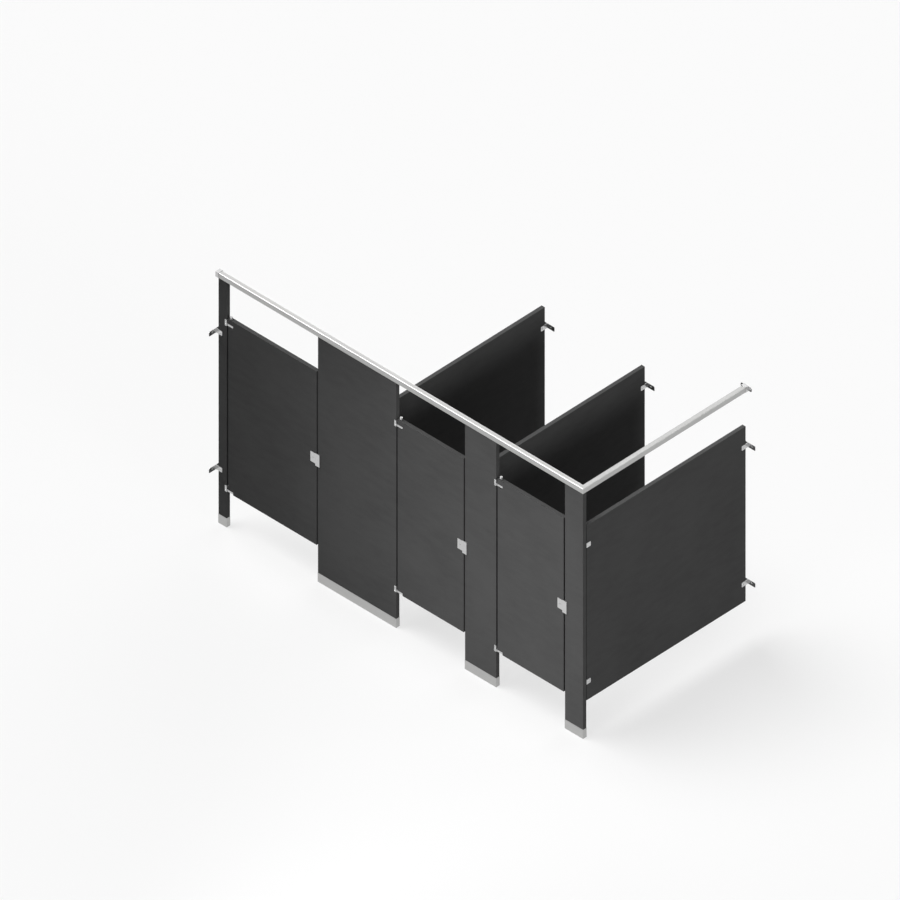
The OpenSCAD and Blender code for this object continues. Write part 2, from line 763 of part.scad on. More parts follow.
// Keeper of door n: a stop in front of the door, a web round the pilaster's edge, and a loop
// on the back that the latch bolt slides into
module latch_keeper(n) {
    edge_x = pilaster_x(n + 1);
    nose_x = edge_x - door_gap - keeper_lap;
    nose_y = door_front_y - front_y - keeper_t - seat;
    loop_y = back_y + keeper_t;
    difference() {
        union() {
            translate([edge_x - keeper_t, front_y - keeper_proud, keeper_top - keeper_h])
                cube([keeper_w + keeper_t, keeper_proud, keeper_h]);
            translate([nose_x, front_y - keeper_proud, keeper_top - keeper_h])
                cube([edge_x - nose_x, keeper_proud + nose_y, keeper_h]);
            translate([edge_x - keeper_t, front_y - eps, keeper_top - keeper_h])
                cube([keeper_t, pilaster_t + keeper_t + eps, keeper_h]);
            translate([edge_x - keeper_t, back_y, keeper_top - keeper_h])
                cube([keeper_back_w + keeper_t, keeper_t, keeper_h]);
            translate([edge_x - keeper_t, loop_y, latch_z - loop_h / 2])
                cube([loop_w + keeper_t, loop_t, loop_h]);
        }
        translate([edge_x - keeper_t - eps, loop_y, latch_z - slot_h / 2])
            cube([loop_w + 2 * keeper_t, latch_bolt_t + 2 * bolt_air, slot_h]);
        keeper_screws(n, screw_fit);
    }
}
module latch_keepers() {
    color(bright) for (n = [1 : 3]) latch_keeper(n);
}

// Rubber strip between each keeper's nose and the closed door
module keeper_bumpers() {
    color(black) for (n = [1 : 3])
        translate([
            pilaster_x(n + 1) - door_gap - keeper_lap,
            door_front_y - keeper_t - seat,
            keeper_top - keeper_h / 2 - strip_h / 2
        ])
            cube([keeper_lap, keeper_t, strip_h]);
}

// Solid of door n drawn in by d on all sides, with a notch for the top hinge's arm and a cut
// corner for the bottom one's
module door_solid(n, d) {
    difference() {
        translate([door_x(n) + d, door_front_y + d, door_lift + d])
            cube([door_w(n) - 2 * d, panel_t - 2 * d, door_h - 2 * d]);
        translate([door_x(n) - eps, door_front_y - eps, notch_z - d])
            cube([notch_len + eps + d, panel_t + 2 * eps, notch_h + 2 * d]);
        translate([door_x(n) - eps, door_front_y - eps, door_lift - eps])
            cube([notch_len + eps + d, panel_t + 2 * eps, corner_h + eps + d]);
    }
}

// Door n: a closed steel skin with holes for its pin, cam, latch posts and screws
module door(n) {
    color(charcoal) difference() {
        door_solid(n, 0);
        door_solid(n, skin_t);
        translate([pivot_x(n), mid_y, notch_z - skin_t - eps])
            cylinder(h = door_top - notch_z + skin_t + 2 * eps, r = pin_r + running);
        translate([pivot_x(n), mid_y, door_lift + corner_h - eps])
            cylinder(h = skin_t + 2 * eps, r = cam_r + running);
        for (s = [-1, 1]) translate([plate_x(n), door_front_y - eps, latch_z + s * post_dz])
            facing_back() cylinder(h = panel_t + 2 * eps, r = post_r + running);
        hook_screws(n, screw_fit);
    }
}

// Honeycomb inside door n, in two blocks that leave the cam, the latch and the notch free
module door_core(n) {
    bottoms = [cam_z + cam_h + core_gap, latch_z + case_h / 2 + core_gap];
    tops = [latch_z - case_h / 2 - core_gap, min(notch_z, hook_z - hook_plate_h / 2) - core_gap];
    color(card) for (i = [0, 1])
        translate([door_x(n) + skin_t, door_front_y + skin_t, bottoms[i]])
            honeycomb(door_w(n) - 2 * skin_t, panel_t - 2 * skin_t, tops[i] - bottoms[i]);
}

// Top hinge pin of door n, dropped in from the door's top edge, which its collar rests on
module hinge_pin(n) {
    tail_z = notch_z - skin_t - pin_tail;
    head_z = door_top + pin_neck_h;
    color(bright) translate([pivot_x(n), mid_y, 0]) {
        translate([0, 0, tail_z]) cylinder(h = door_top - tail_z, r = pin_r);
        translate([0, 0, door_top]) cylinder(h = pin_collar_h, r = pin_collar_r);
        translate([0, 0, door_top]) cylinder(h = pin_neck_h, r = pin_neck_r);
        translate([0, 0, head_z]) cylinder(h = pin_head_h - pin_taper, r = pin_head_r);
        translate([0, 0, head_z + pin_head_h - pin_taper])
            cylinder(h = pin_taper, r1 = pin_head_r, r2 = pin_head_r - pin_taper);
    }
}

// Nylon cam in the bottom edge of door n, which turns on the bottom bracket's pintle
module hinge_cam(n) {
    color(nylon) translate([pivot_x(n), mid_y, cam_z]) difference() {
        cylinder(h = cam_h, r = cam_r);
        translate([0, 0, -eps]) cylinder(h = pintle_h + pintle_end + eps, r = pintle_r + running);
    }
}

// Middle of the outside plate, and of the two posts behind it
function plate_x(n) = door_end(n) - plate_inset - plate_w / 2;

// Outside plate of the latch, with a slot for opening it with a coin, and two posts behind it
// that take the case's screws
module latch_plate(n) {
    color(bright) {
        translate([plate_x(n), door_front_y, latch_z]) facing_front() linear_extrude(plate_t)
            difference() {
                rounded_rect(plate_w, plate_h, plate_corner);
                rounded_rect(coin_w, coin_h, coin_r);
            }
        for (s = [-1, 1]) translate([plate_x(n), door_front_y, latch_z + s * post_dz])
            facing_back() difference() {
                cylinder(h = panel_t, r = post_r);
                translate([0, 0, panel_t - thread_len - csk_depth])
                    cylinder(h = thread_len + csk_depth + eps, r = small_r + running);
            }
    }
}

// Latch case on the inside of door n, with a channel for the bolt and a slot for its stem
module latch_case(n) {
    end_x = door_end(n) - case_end;
    stem_x = end_x - stem_inset;
    color(bright) difference() {
        translate([end_x - case_w, door_back_y, latch_z - case_h / 2])
            cube([case_w, case_t, case_h]);
        translate([
            end_x - latch_bolt_len - seat,
            latch_bolt_y - seat,
            latch_z - latch_bolt_h / 2 - seat
        ])
            cube([latch_bolt_len + seat + eps, latch_bolt_t + 2 * seat, latch_bolt_h + 2 * seat]);
        translate([stem_x, latch_bolt_y, latch_z - stem_r - seat])
            cube([bolt_travel, case_t, 2 * (stem_r + seat)]);
        for (x = [stem_x, stem_x + bolt_travel]) translate([x, latch_bolt_y, latch_z])
            facing_back() cylinder(h = case_t, r = stem_r + seat);
        latch_screws(n, screw_fit);
    }
}

// Sliding bolt of the latch, drawn back. It moves along +X into the keeper.
module latch_bolt(n) {
    end_x = door_end(n) - case_end;
    color(bright) difference() {
        translate([end_x - latch_bolt_len, latch_bolt_y, latch_z - latch_bolt_h / 2])
            cube([latch_bolt_len, latch_bolt_t, latch_bolt_h]);
        translate([end_x - stem_inset, latch_bolt_y + latch_bolt_t / 2, latch_z])
            facing_back() cylinder(h = latch_bolt_t, r = stem_r + running);
    }
}

// Turned knob on a stem that is set in the bolt
module latch_knob(n) {
    face_y = door_back_y + case_t + seat;
    stem_l = face_y - latch_bolt_y - latch_bolt_t / 2;
    color(bright)
        translate([door_end(n) - case_end - stem_inset, latch_bolt_y + latch_bolt_t / 2, latch_z])
            facing_back() {
                cylinder(h = stem_l, r = stem_r);
                translate([0, 0, stem_l])
                    cylinder(h = knob_h - knob_rim - knob_taper, r1 = knob_r - knob_taper, r2 = knob_r);
                translate([0, 0, stem_l + knob_h - knob_rim - knob_taper])
                    cylinder(h = knob_rim, r = knob_r);
                translate([0, 0, stem_l + knob_h - knob_taper])
                    cylinder(h = knob_taper, r1 = knob_r, r2 = knob_r - knob_taper);
            }
}

// Long screws through the case into the posts of the outside plate
module latch_screws(n, grow = 0) {
    for (s = [-1, 1]) translate([plate_x(n), door_back_y + case_t, latch_z + s * post_dz])
        facing_back() pan_screw(case_t + thread_len, grow, small_r, small_head_r);
}

// Short screws that hold the coat hook to the door's inner sheet
module hook_screws(n, grow = 0) {
    for (s = [-1, 1])
        translate([hook_x(n), door_back_y + hook_plate_t, hook_z + s * hook_screw_dz])
            facing_back() pan_screw(small_len, grow, small_r, small_head_r);
}
module door_screws(n) {
    color(bright) {
        latch_screws(n);
        hook_screws(n);
    }
}

function hook_x(n) = door_x(n) + door_w(n) / 2;

// Coat hook: a plate, a rod out from it, a bend and an upright end with a ball
module coat_hook(n) {
    color(bright) translate([hook_x(n), door_back_y, hook_z]) {
        difference() {
            facing_back() linear_extrude(hook_plate_t)
                rounded_rect(hook_plate_w, hook_plate_h, hook_corner);
            translate([-hook_x(n), -door_back_y, -hook_z]) hook_screws(n, screw_fit);
        }
        facing_back() cylinder(h = hook_reach, r = hook_rod_r);
        translate([0, hook_reach, hook_bend_r]) rotate([0, 90, 0]) rotate_extrude(angle = 90)
            translate([hook_bend_r, 0]) circle(r = hook_rod_r);
        translate([0, hook_reach + hook_bend_r, hook_bend_r]) cylinder(h = hook_rise, r = hook_rod_r);
        translate([0, hook_reach + hook_bend_r, hook_bend_r + hook_rise]) sphere(r = hook_ball_r);
    }
}

pilaster(1);  // pilaster_1
pilaster(2);  // pilaster_2
pilaster(3);  // pilaster_3
pilaster(4);  // pilaster_4
pilaster_cores();
panel(1);  // panel_1
panel(2);  // panel_2
panel(3);  // panel_3
panel_cores();
shoe(1);  // shoe_1
shoe(2);  // shoe_2
shoe(3);  // shoe_3
shoe(4);  // shoe_4
levelling_bars();
floor_studs();
levelling_nuts();
headrail_front();
headrail_side();
headrail_corner_block();
headrail_wall_cups();
panel_wall_brackets();
pilaster_wall_brackets();
pilaster_panel_brackets();
bracket_bolts();
bracket_screws();
pan_screws();
top_hinge_brackets();
bottom_hinge_brackets();
latch_keepers();
keeper_bumpers();
door(1);  // door_1
door_core(1);  // door_1_core
hinge_pin(1);  // door_1_hinge_pin
hinge_cam(1);  // door_1_hinge_cam
latch_plate(1);  // door_1_latch_plate
latch_case(1);  // door_1_latch_case
latch_bolt(1);  // door_1_latch_bolt
latch_knob(1);  // door_1_latch_knob
coat_hook(1);  // door_1_coat_hook
door_screws(1);  // door_1_screws
door(2);  // door_2
door_core(2);  // door_2_core
hinge_pin(2);  // door_2_hinge_pin
hinge_cam(2);  // door_2_hinge_cam
latch_plate(2);  // door_2_latch_plate
latch_case(2);  // door_2_latch_case
latch_bolt(2);  // door_2_latch_bolt
latch_knob(2);  // door_2_latch_knob
coat_hook(2);  // door_2_coat_hook
door_screws(2);  // door_2_screws
door(3);  // door_3
door_core(3);  // door_3_core
hinge_pin(3);  // door_3_hinge_pin
hinge_cam(3);  // door_3_hinge_cam
latch_plate(3);  // door_3_latch_plate
latch_case(3);  // door_3_latch_case
latch_bolt(3);  // door_3_latch_bolt
latch_knob(3);  // door_3_latch_knob
coat_hook(3);  // door_3_coat_hook
door_screws(3);  // door_3_screws
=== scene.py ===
"""The looks of the bathroom stall partition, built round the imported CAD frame. Sizes are metres."""
import json
import math

import bmesh
import bpy
from mathutils import Matrix, Vector


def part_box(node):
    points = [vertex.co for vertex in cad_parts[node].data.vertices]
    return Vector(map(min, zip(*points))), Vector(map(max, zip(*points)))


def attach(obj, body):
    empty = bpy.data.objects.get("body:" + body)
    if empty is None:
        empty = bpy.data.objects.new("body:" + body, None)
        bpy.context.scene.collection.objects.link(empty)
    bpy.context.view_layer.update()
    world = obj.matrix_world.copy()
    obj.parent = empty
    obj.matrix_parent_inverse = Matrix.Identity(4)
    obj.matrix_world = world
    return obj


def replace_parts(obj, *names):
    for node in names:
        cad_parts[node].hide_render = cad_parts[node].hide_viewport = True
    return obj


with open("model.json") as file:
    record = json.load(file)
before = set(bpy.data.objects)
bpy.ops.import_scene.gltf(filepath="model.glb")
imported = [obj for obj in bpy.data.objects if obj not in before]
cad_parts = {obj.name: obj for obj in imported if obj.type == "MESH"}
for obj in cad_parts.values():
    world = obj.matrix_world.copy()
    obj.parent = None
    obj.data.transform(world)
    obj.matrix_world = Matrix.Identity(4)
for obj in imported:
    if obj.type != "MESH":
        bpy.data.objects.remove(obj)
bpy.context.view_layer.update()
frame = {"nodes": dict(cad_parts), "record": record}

NODES = frame["nodes"]
RECORD = frame["record"]
MM = 0.001

# Camera, read from the photograph: a parallel view from the right, above the front
VIEW_AZIMUTH = math.radians(44.25)
VIEW_ELEVATION = math.radians(37.54)
METRES_PER_PIXEL = 1 / 149.43
IMAGE_SIZE = 900
# Pixel of the fourth pilaster's front right bottom corner
ANCHOR_PIXEL = (583.0, 738.8)
CAMERA_DISTANCE = 12.0
CAMERA_REACH = 100.0

# Light
WORLD_STRENGTH = 0.06
BACKGROUND = 0.96
SUN_STRENGTH = 3.85
SUN_SOFTNESS = math.radians(40)
SUN_FROM = Vector((-0.45, -0.20, 0.95))
RIM_STRENGTH = 0.1
RIM_SOFTNESS = math.radians(8)
RIM_FROM = Vector((0.61, 0.57, 0.55))
SIDE_STRENGTH = 1.25
SIDE_SOFTNESS = math.radians(20)
SIDE_FROM = Vector((1.0, -0.05, 0.18))
FILL_STRENGTH = 2.0
FILL_SOFTNESS = math.radians(60)
FILL_FROM = Vector((-0.20, 0.90, 0.25))
SPOT_POWER = 900.0
SPOT_RADIUS = 0.7
SPOT_CONE = math.radians(64)
SPOT_BLEND = 1.0
SPOT_AT = Vector((2.0, -5.7, 1.1))
SPOT_AIM = Vector((1.35, -0.75, 1.1))

# Ground
GROUND_SIZE = 400
GROUND_DROP = 0.5 * MM
FLOOR = (0.20, 0.20, 0.20)
FLOOR_ROUGHNESS = 0.9
FLOOR_GLOW = 0.68
WHITE = (1.0, 1.0, 1.0, 1.0)

# Colours, linear
CHARCOAL = (0.060, 0.060, 0.060)
PAINT_SPECULAR = 0.015
STAINLESS = (0.44, 0.44, 0.435)
ALUMINIUM = (0.41, 0.41, 0.405)
SATIN_METAL = (0.54, 0.54, 0.54)
ZINC = (0.50, 0.51, 0.50)
NYLON = (0.78, 0.77, 0.72)
RUBBER = (0.018, 0.018, 0.018)
CARD = (0.45, 0.33, 0.19)

# Parts of a noise's range: nearly all of it, most of it, and its upper part
WIDE = (0.25, 0.75)
MOST = (0.3, 0.7)
UPPER = (0.35, 0.75)
FULL = (0.0, 1.0)
GRAINS_ACROSS_MOTTLE = 12

# Rounding of the sheets' folds and of the castings' edges, by material slot
EDGE_RADIUS = {
    "panel_paint": 1.6 * MM,
    "stainless": 0.6 * MM,
    "hardware": 0.6 * MM,
    "bumper": 0.6 * MM,
}
EDGE_SEGMENTS = 2
EDGE_ANGLE = math.radians(50)

# Screws and bolts
SCREW_SIDES = 24
HEAD_STEPS = 6
HEAD_RIM = 0.25
SOCKET_SHARE = 0.42
SOCKET_MARGIN = 1.35
SOCKET_DEPTH = 0.75
SOCKET_TAPER = 0.94
SOCKET_LOBES = 6
LOBE_DEPTH = 0.14
NECK_H = 0.2 * MM
SCREW_HEAD_H = 2.0 * MM
BOLT_HEAD_H = 2.5 * MM
BOLT_SHANK_R = 3.2 * MM
BOLT_GAP = 0.1 * MM
END_SLICE = 4.5 * MM
SAME_RADIUS = 0.5 * MM
SAME_PLACE = 0.001 * MM
SMOOTH_ANGLE = math.radians(40)

# Screws that fix the row, and the thickness of what they hold
FIXING_HEAD_R = 6.2 * MM
FIXING_HEAD_H = 2.8 * MM
FIXING_SHANK_R = 2.8 * MM
FIXING_SHORT = 0.3 * MM
CUP_EAR = 2.5 * MM
FLANGE = 3.0 * MM


class Nodes:
    """Short helper to lay out one material's nodes."""

    # Sockets of a colour Mix node, which share their names with its other kinds
    COLOUR_A = 6
    COLOUR_B = 7
    COLOUR_OUT = 2

    def __init__(self, name):
        self.material = bpy.data.materials.new(name)
        self.material.use_nodes = True
        self.tree = self.material.node_tree
        self.shader = self.tree.nodes["Principled BSDF"]
        self.coordinates = self.tree.nodes.new("ShaderNodeTexCoord").outputs["Object"]

    def link(self, source, target):
        self.tree.links.new(source, target)

    def stretched(self, scale):
        mapping = self.tree.nodes.new("ShaderNodeMapping")
        mapping.inputs["Scale"].default_value = scale
        self.link(self.coordinates, mapping.inputs["Vector"])
        return mapping.outputs["Vector"]

    def noise(self, scale, detail, roughness=0.5, stretch=None):
        noise = self.tree.nodes.new("ShaderNodeTexNoise")
        noise.inputs["Scale"].default_value = scale
        noise.inputs["Detail"].default_value = detail
        noise.inputs["Roughness"].default_value = roughness
        place = self.stretched(stretch) if stretch else self.coordinates
        self.link(place, noise.inputs["Vector"])
        return noise.outputs["Fac"]

    def ramp(self, value, part, result):
        """Takes a part of a value's range, (low, high), to a result range."""
        node = self.tree.nodes.new("ShaderNodeMapRange")
        node.inputs["From Min"].default_value = part[0]
        node.inputs["From Max"].default_value = part[1]
        node.inputs["To Min"].default_value = result[0]
        node.inputs["To Max"].default_value = result[1]
        self.link(value, node.inputs["Value"])
        return node.outputs["Result"]

    def mix(self, factor, first, second):
        """Mix of two colours, each a tuple or another node's output."""
        node = self.tree.nodes.new("ShaderNodeMix")
        node.data_type = "RGBA"
        self.link(factor, node.inputs["Factor"])
        for index, colour in ((self.COLOUR_A, first), (self.COLOUR_B, second)):
            if isinstance(colour, tuple):
                node.inputs[index].default_value = (*colour, 1)
            else:
                self.link(colour, node.inputs[index])
        return node.outputs[self.COLOUR_OUT]

    def add(self, first, second):
        node = self.tree.nodes.new("ShaderNodeMath")
        node.operation = "ADD"
        self.link(first, node.inputs[0])
        self.link(second, node.inputs[1])
        return node.outputs[0]

    def bump(self, height, strength, distance, normal=None):
        node = self.tree.nodes.new("ShaderNodeBump")
        node.inputs["Strength"].default_value = strength
        node.inputs["Distance"].default_value = distance
        self.link(height, node.inputs["Height"])
        if normal:
            self.link(normal, node.inputs["Normal"])
        return node.outputs["Normal"]

    def finish(self, colour, roughness, normal, metallic=0.0, specular=0.5):
        self.link(colour, self.shader.inputs["Base Color"])
        self.link(roughness, self.shader.inputs["Roughness"])
        self.link(normal, self.shader.inputs["Normal"])
        self.shader.inputs["Metallic"].default_value = metallic
        self.shader.inputs["Specular IOR Level"].default_value = specular
        return self.material


def shade(colour, factor):
    return tuple(channel * factor for channel in colour)


def powder_coat():
    """Charcoal powder coat: broad clouding, level streaks, specks, fine orange peel, a dull sheen."""
    n = Nodes("powder_coat")
    cloud = n.noise(scale=2.3, detail=4.0)
    streak = n.noise(scale=7.0, detail=6.0, roughness=0.6, stretch=(1.0, 1.0, 3.5))
    speck = n.noise(scale=900.0, detail=2.0)
    colour = n.mix(n.ramp(cloud, MOST, FULL), shade(CHARCOAL, 0.92), shade(CHARCOAL, 1.08))
    colour = n.mix(n.ramp(streak, UPPER, (0.0, 0.5)), colour, shade(CHARCOAL, 1.22))
    colour = n.mix(n.ramp(speck, (0.58, 0.72), (0.0, 0.35)), colour, shade(CHARCOAL, 1.5))
    peel = n.noise(scale=260.0, detail=2.0)
    roughness = n.ramp(n.noise(scale=14.0, detail=5.0), MOST, (0.40, 0.50))
    normal = n.bump(peel, strength=0.35, distance=0.4 * MM)
    normal = n.bump(speck, strength=0.2, distance=0.1 * MM, normal=normal)
    return n.finish(colour, roughness, normal, specular=PAINT_SPECULAR)


def brushed(name, colour, stretch, roughness):
    """Brushed or drawn metal. Its lines run along the axis with the smallest stretch."""
    n = Nodes(name)
    lines = n.noise(scale=420.0, detail=3.0, roughness=0.6, stretch=stretch)
    broad = n.noise(scale=3.0, detail=4.0)
    tone = n.mix(n.ramp(lines, WIDE, FULL), shade(colour, 0.93), shade(colour, 1.04))
    tone = n.mix(n.ramp(broad, UPPER, (0.0, 0.3)), tone, shade(colour, 0.9))
    normal = n.bump(lines, strength=0.25, distance=0.3 * MM)
    return n.finish(tone, n.ramp(lines, WIDE, roughness), normal, metallic=1.0)


def satin_metal(name, colour, roughness):
    """Cast or plated metal: a fine upright brushing under faint handling marks."""
    n = Nodes(name)
    lines = n.noise(scale=800.0, detail=3.0, roughness=0.6, stretch=(1.0, 1.0, 0.05))
    marks = n.noise(scale=55.0, detail=4.0, roughness=0.6)
    tone = n.mix(n.ramp(lines, MOST, FULL), shade(colour, 0.95), shade(colour, 1.04))
    tone = n.mix(n.ramp(marks, (0.4, 0.75), (0.0, 0.4)), tone, shade(colour, 0.88))
    rough = n.add(n.ramp(marks, MOST, roughness), n.ramp(lines, MOST, (0.0, 0.06)))
    normal = n.bump(lines, strength=0.25, distance=0.2 * MM)
    return n.finish(tone, rough, normal, metallic=1.0)


def plain(name, colour, roughness, grain, depth):
    """Moulded plastic, rubber or card: a mottled tone and a fine grain."""
    n = Nodes(name)
    mottle = n.noise(scale=grain / GRAINS_ACROSS_MOTTLE, detail=4.0)
    fine = n.noise(scale=grain, detail=3.0)
    tone = n.mix(n.ramp(mottle, MOST, FULL), shade(colour, 0.88), shade(colour, 1.08))
    normal = n.bump(fine, strength=0.4, distance=depth)
    return n.finish(tone, n.ramp(mottle, MOST, roughness), normal)


PAINT = powder_coat()
SHOE_STEEL = brushed("brushed_stainless", STAINLESS, (0.02, 0.02, 1.0), (0.30, 0.42))
RAIL_X = brushed("drawn_aluminium_x", ALUMINIUM, (0.01, 1.0, 1.0), (0.32, 0.42))
RAIL_Y = brushed("drawn_aluminium_y", ALUMINIUM, (1.0, 0.01, 1.0), (0.32, 0.42))
HARDWARE = satin_metal("satin_hardware", SATIN_METAL, (0.25, 0.32))
SCREW_METAL = satin_metal("screw_steel", shade(SATIN_METAL, 0.95), (0.18, 0.28))
ZINC_PLATE = satin_metal("zinc_plate", ZINC, (0.35, 0.5))
NYLON_PLASTIC = plain("nylon", NYLON, (0.35, 0.5), grain=600.0, depth=0.1 * MM)
RUBBER_BLACK = plain("rubber", RUBBER, (0.6, 0.8), grain=700.0, depth=0.2 * MM)
CARDBOARD = plain("card_core", CARD, (0.8, 0.95), grain=300.0, depth=0.3 * MM)

BY_SLOT = {
    "panel_paint": PAINT,
    "honeycomb": CARDBOARD,
    "stainless": SHOE_STEEL,
    "aluminium": RAIL_X,
    "hardware": HARDWARE,
    "zinc": ZINC_PLATE,
    "bumper": RUBBER_BLACK,
    "nylon": NYLON_PLASTIC,
}
SLOT_OF = {part["node"]: part["material_slot"] for part in RECORD["subparts"]}


def set_material(obj, material):
    for slot in obj.material_slots:
        slot.material = material
    if not obj.material_slots:
        obj.data.materials.append(material)


def round_edges(obj, radius):
    bevel = obj.modifiers.new("edges", "BEVEL")
    bevel.width = radius
    bevel.segments = EDGE_SEGMENTS
    bevel.limit_method = "ANGLE"
    bevel.angle_limit = EDGE_ANGLE
    bevel.use_clamp_overlap = False
    bevel.harden_normals = True


def dress_nodes():
    """Gives each CAD node its material and rounded edges. The coat hooks are round already."""
    for name, obj in NODES.items():
        slot = SLOT_OF[name]
        set_material(obj, RAIL_Y if name == "headrail_side" else BY_SLOT[slot])
        if slot in EDGE_RADIUS and not name.endswith("coat_hook"):
            round_edges(obj, EDGE_RADIUS[slot])


def islands(obj):
    """Lists of vertex places, one for each separate solid of a node."""
    mesh = bmesh.new()
    mesh.from_mesh(obj.data)
    bmesh.ops.remove_doubles(mesh, verts=mesh.verts, dist=SAME_PLACE)
    left = set(mesh.verts)
    found = []
    while left:
        stack = [left.pop()]
        points = []
        while stack:
            vertex = stack.pop()
            points.append(vertex.co.copy())
            for edge in vertex.link_edges:
                other = edge.other_vert(vertex)
                if other in left:
                    left.remove(other)
                    stack.append(other)
        found.append(points)
    mesh.free()
    return found


def circle():
    """Angles of the points round a screw."""
    return [2 * math.pi * i / SCREW_SIDES for i in range(SCREW_SIDES)]


def ring(mesh, radii, height):
    """Closed ring of points, one radius for each angle."""
    points = []
    for angle, radius in zip(circle(), radii):
        points.append(mesh.verts.new((radius * math.cos(angle), radius * math.sin(angle), height)))
    return points


def bridge(mesh, low, high):
    """Faces between two rings."""
    for i in range(SCREW_SIDES):
        j = (i + 1) % SCREW_SIDES
        mesh.faces.new((low[i], low[j], high[j], high[i]))


def screw_shape(head_r, head_h, shank_r, length):
    """Screw along Z, its seat at Z = 0, with a rounded head and a six-lobed socket."""
    socket_r = head_r * SOCKET_SHARE
    profile = [(shank_r, -length), (shank_r, -NECK_H), (head_r, 0.0)]
    for step in range(HEAD_STEPS + 1):
        angle = math.radians(90 * step / HEAD_STEPS)
        radius = head_r - (head_r - socket_r * SOCKET_MARGIN) * (1 - math.cos(angle))
        profile.append((radius, head_h * (HEAD_RIM + (1 - HEAD_RIM) * math.sin(angle))))
    mesh = bmesh.new()
    rings = [ring(mesh, [radius] * SCREW_SIDES, height) for radius, height in profile]
    lobes = [socket_r * (1 + LOBE_DEPTH * math.cos(SOCKET_LOBES * angle)) for angle in circle()]
    rings.append(ring(mesh, lobes, head_h))
    tapered = [lobe * SOCKET_TAPER for lobe in lobes]
    rings.append(ring(mesh, tapered, head_h * (1 - SOCKET_DEPTH)))
    for low, high in zip(rings, rings[1:]):
        bridge(mesh, low, high)
    mesh.faces.new(list(reversed(rings[0])))
    mesh.faces.new(rings[-1])
    bmesh.ops.recalc_face_normals(mesh, faces=mesh.faces)
    return mesh


def joined(name, shapes, material, body):
    """One object from many (bmesh, matrix) pairs, riding on a body."""
    total = bmesh.new()
    for shape, matrix in shapes:
        copy = bpy.data.meshes.new("part")
        shape.to_mesh(copy)
        shape.free()
        copy.transform(matrix)
        total.from_mesh(copy)
        bpy.data.meshes.remove(copy)
    data = bpy.data.meshes.new(name)
    total.to_mesh(data)
    total.free()
    obj = bpy.data.objects.new(name, data)
    bpy.context.scene.collection.objects.link(obj)
    data.materials.append(material)
    for face in data.polygons:
        face.use_smooth = True
    split = obj.modifiers.new("split", "EDGE_SPLIT")
    split.split_angle = SMOOTH_ANGLE
    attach(obj, body)
    return obj


def facing(place, direction):
    """Matrix that takes +Z to a direction and the origin to a place."""
    turn = Vector((0, 0, 1)).rotation_difference(Vector(direction)).to_matrix().to_4x4()
    return Matrix.Translation(place) @ turn


def unit(axis):
    return Vector([1.0 if i == axis else 0.0 for i in range(3)])


def spread(points, axis):
    """Largest distance of some points from the line along an axis through their middle."""
    middle = sum(points, Vector()) / len(points)
    flat = [(p - middle) * (Vector((1, 1, 1)) - unit(axis)) for p in points]
    return max(v.length for v in flat)


def read_screw(points):
    """Axis, lowest and highest corner, and the radii at both ends, of one screw's points."""
    low = Vector([min(p[i] for p in points) for i in range(3)])
    high = Vector([max(p[i] for p in points) for i in range(3)])
    size = high - low
    axis = max(range(3), key=lambda i: size[i])
    near_low = [p for p in points if p[axis] < low[axis] + END_SLICE]
    near_high = [p for p in points if p[axis] > high[axis] - END_SLICE]
    return axis, low, high, spread(near_low, axis), spread(near_high, axis)


def screws_of(points):
    """(bmesh, matrix) pairs for one solid: a screw with one head, or a through bolt's two halves."""
    axis, low, high, low_r, high_r = read_screw(points)
    middle = (low + high) / 2
    length = high[axis] - low[axis]
    through = abs(low_r - high_r) < SAME_RADIUS
    if through:
        # The halves stop just short of each other
        head_h = BOLT_HEAD_H
        shank_r = BOLT_SHANK_R
        reach = length / 2 - BOLT_GAP - head_h
    else:
        head_h = SCREW_HEAD_H
        shank_r = min(low_r, high_r)
        reach = length - head_h
    shapes = []
    for sign, radius, end in ((1, high_r, high), (-1, low_r, low)):
        if through or radius > (low_r + high_r) / 2:
            place = middle.copy()
            place[axis] = end[axis] - sign * head_h
            shape = screw_shape(radius, head_h, shank_r, reach)
            shapes.append((shape, facing(place, unit(axis) * sign)))
    return shapes


def replace_screws(node, body):
    """Builds a detailed screw or bolt for each solid of a node, and hides the node."""
    shapes = []
    for points in islands(NODES[node]):
        shapes += screws_of(points)
    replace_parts(joined(node + "_detail", shapes, SCREW_METAL, body), node)


def fixing_screws():
    """Screws in the flanges and cup ears that fix the row, placed by the record's bolt patterns."""
    shapes = []
    for mount in RECORD["mounts"]:
        if mount["kind"] != "bolt_pattern":
            continue
        out = Vector(mount["axis"])
        first_axis, second_axis = [unit(i) for i in range(3) if not round(out[i])]
        half_x = mount["dims"].get("spacing_x_mm", 0) * MM / 2
        half_y = mount["dims"].get("spacing_y_mm", 0) * MM / 2
        thickness = CUP_EAR if "headrail" in mount["name"] else FLANGE
        for first in (-1, 1):
            for second in ((-1, 1) if half_y else (1,)):
                place = Vector(mount["pos_m"]) - out * thickness
                place += first_axis * half_x * first + second_axis * half_y * second
                reach = thickness - FIXING_SHORT
                shape = screw_shape(FIXING_HEAD_R, FIXING_HEAD_H, FIXING_SHANK_R, reach)
                shapes.append((shape, facing(place, -out)))
    joined("fixing_screws", shapes, SCREW_METAL, "frame")


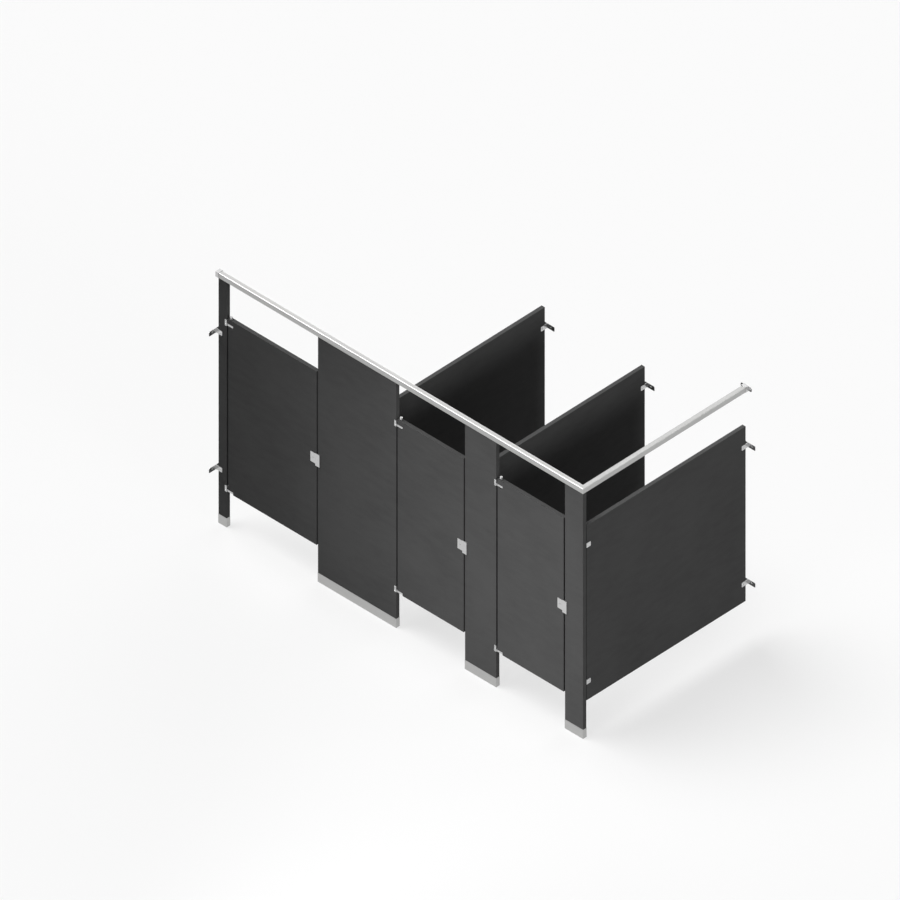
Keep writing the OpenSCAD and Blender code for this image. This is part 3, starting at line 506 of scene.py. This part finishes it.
def background_rays(tree):
    """1 for the rays that see the plain background: camera, glossy and transmission rays."""
    path = tree.nodes.new("ShaderNodeLightPath")
    total = path.outputs["Is Camera Ray"]
    for kind in ("Is Glossy Ray", "Is Transmission Ray"):
        larger = tree.nodes.new("ShaderNodeMath")
        larger.operation = "MAXIMUM"
        tree.links.new(total, larger.inputs[0])
        tree.links.new(path.outputs[kind], larger.inputs[1])
        total = larger.outputs[0]
    return total


def stage():
    """Pale ground that keeps the shadow."""
    bpy.ops.mesh.primitive_plane_add(size=GROUND_SIZE)
    ground = bpy.context.object
    ground.name = "ground"
    ground.location.z = -GROUND_DROP
    material = bpy.data.materials.new("ground_pale")
    material.use_nodes = True
    tree = material.node_tree
    shader = tree.nodes["Principled BSDF"]
    shader.inputs["Base Color"].default_value = (*FLOOR, 1)
    shader.inputs["Roughness"].default_value = FLOOR_ROUGHNESS
    shader.inputs["Specular IOR Level"].default_value = 0.0
    shader.inputs["Emission Color"].default_value = WHITE
    glow = tree.nodes.new("ShaderNodeMath")
    glow.operation = "MULTIPLY"
    tree.links.new(background_rays(tree), glow.inputs[0])
    glow.inputs[1].default_value = FLOOR_GLOW
    tree.links.new(glow.outputs[0], shader.inputs["Emission Strength"])
    ground.data.materials.append(material)


def lamp(name, kind, place, aim, strength):
    data = bpy.data.lights.new(name, kind)
    data.energy = strength
    obj = bpy.data.objects.new(name, data)
    obj.location = place
    obj.rotation_euler = (place - aim).to_track_quat("Z", "Y").to_euler()
    bpy.context.scene.collection.objects.link(obj)
    return data


def white_background(tree, strength):
    shader = tree.nodes.new("ShaderNodeBackground")
    shader.inputs["Color"].default_value = WHITE
    shader.inputs["Strength"].default_value = strength
    return shader.outputs[0]


def light():
    """Even world light that looks near white to the camera, four soft suns and a wide spot."""
    world = bpy.data.worlds.new("studio")
    bpy.context.scene.world = world
    world.use_nodes = True
    tree = world.node_tree
    tree.nodes.clear()
    output = tree.nodes.new("ShaderNodeOutputWorld")
    pick = tree.nodes.new("ShaderNodeMixShader")
    tree.links.new(background_rays(tree), pick.inputs["Fac"])
    tree.links.new(white_background(tree, WORLD_STRENGTH), pick.inputs[1])
    tree.links.new(white_background(tree, BACKGROUND), pick.inputs[2])
    tree.links.new(pick.outputs[0], output.inputs["Surface"])
    for name, place, strength, softness in (
        ("sun", SUN_FROM, SUN_STRENGTH, SUN_SOFTNESS),
        ("rim", RIM_FROM, RIM_STRENGTH, RIM_SOFTNESS),
        ("side", SIDE_FROM, SIDE_STRENGTH, SIDE_SOFTNESS),
        ("fill", FILL_FROM, FILL_STRENGTH, FILL_SOFTNESS),
    ):
        lamp(name, "SUN", place, Vector(), strength).angle = softness
    spot = lamp("spot", "SPOT", SPOT_AT, SPOT_AIM, SPOT_POWER)
    spot.shadow_soft_size = SPOT_RADIUS
    spot.spot_size = SPOT_CONE
    spot.spot_blend = SPOT_BLEND


def camera():
    """Parallel camera that puts the anchor corner on its pixel."""
    data = bpy.data.cameras.new("camera")
    data.type = "ORTHO"
    data.ortho_scale = IMAGE_SIZE * METRES_PER_PIXEL
    data.clip_end = CAMERA_REACH
    a, e = VIEW_AZIMUTH, VIEW_ELEVATION
    back = Vector((math.sin(a) * math.cos(e), -math.cos(a) * math.cos(e), math.sin(e)))
    right = Vector((math.cos(a), math.sin(a), 0))
    up = Vector((-math.sin(a) * math.sin(e), math.cos(a) * math.sin(e), math.cos(e)))
    low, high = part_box("pilaster_4")
    half = IMAGE_SIZE / 2
    centre = Vector((high.x, low.y, 0))
    centre -= right * (ANCHOR_PIXEL[0] - half) * METRES_PER_PIXEL
    centre += up * (ANCHOR_PIXEL[1] - half) * METRES_PER_PIXEL
    obj = bpy.data.objects.new("camera", data)
    obj.location = centre + back * CAMERA_DISTANCE
    obj.rotation_euler = back.to_track_quat("Z", "Y").to_euler()
    bpy.context.scene.collection.objects.link(obj)
    bpy.context.scene.camera = obj


bpy.context.scene.view_settings.view_transform = "Standard"
camera()
stage()
light()
dress_nodes()
replace_screws("pan_screws", "frame")
replace_screws("bracket_bolts", "frame")
for door in (1, 2, 3):
    replace_screws(f"door_{door}_screws", f"door_{door}")
fixing_screws()
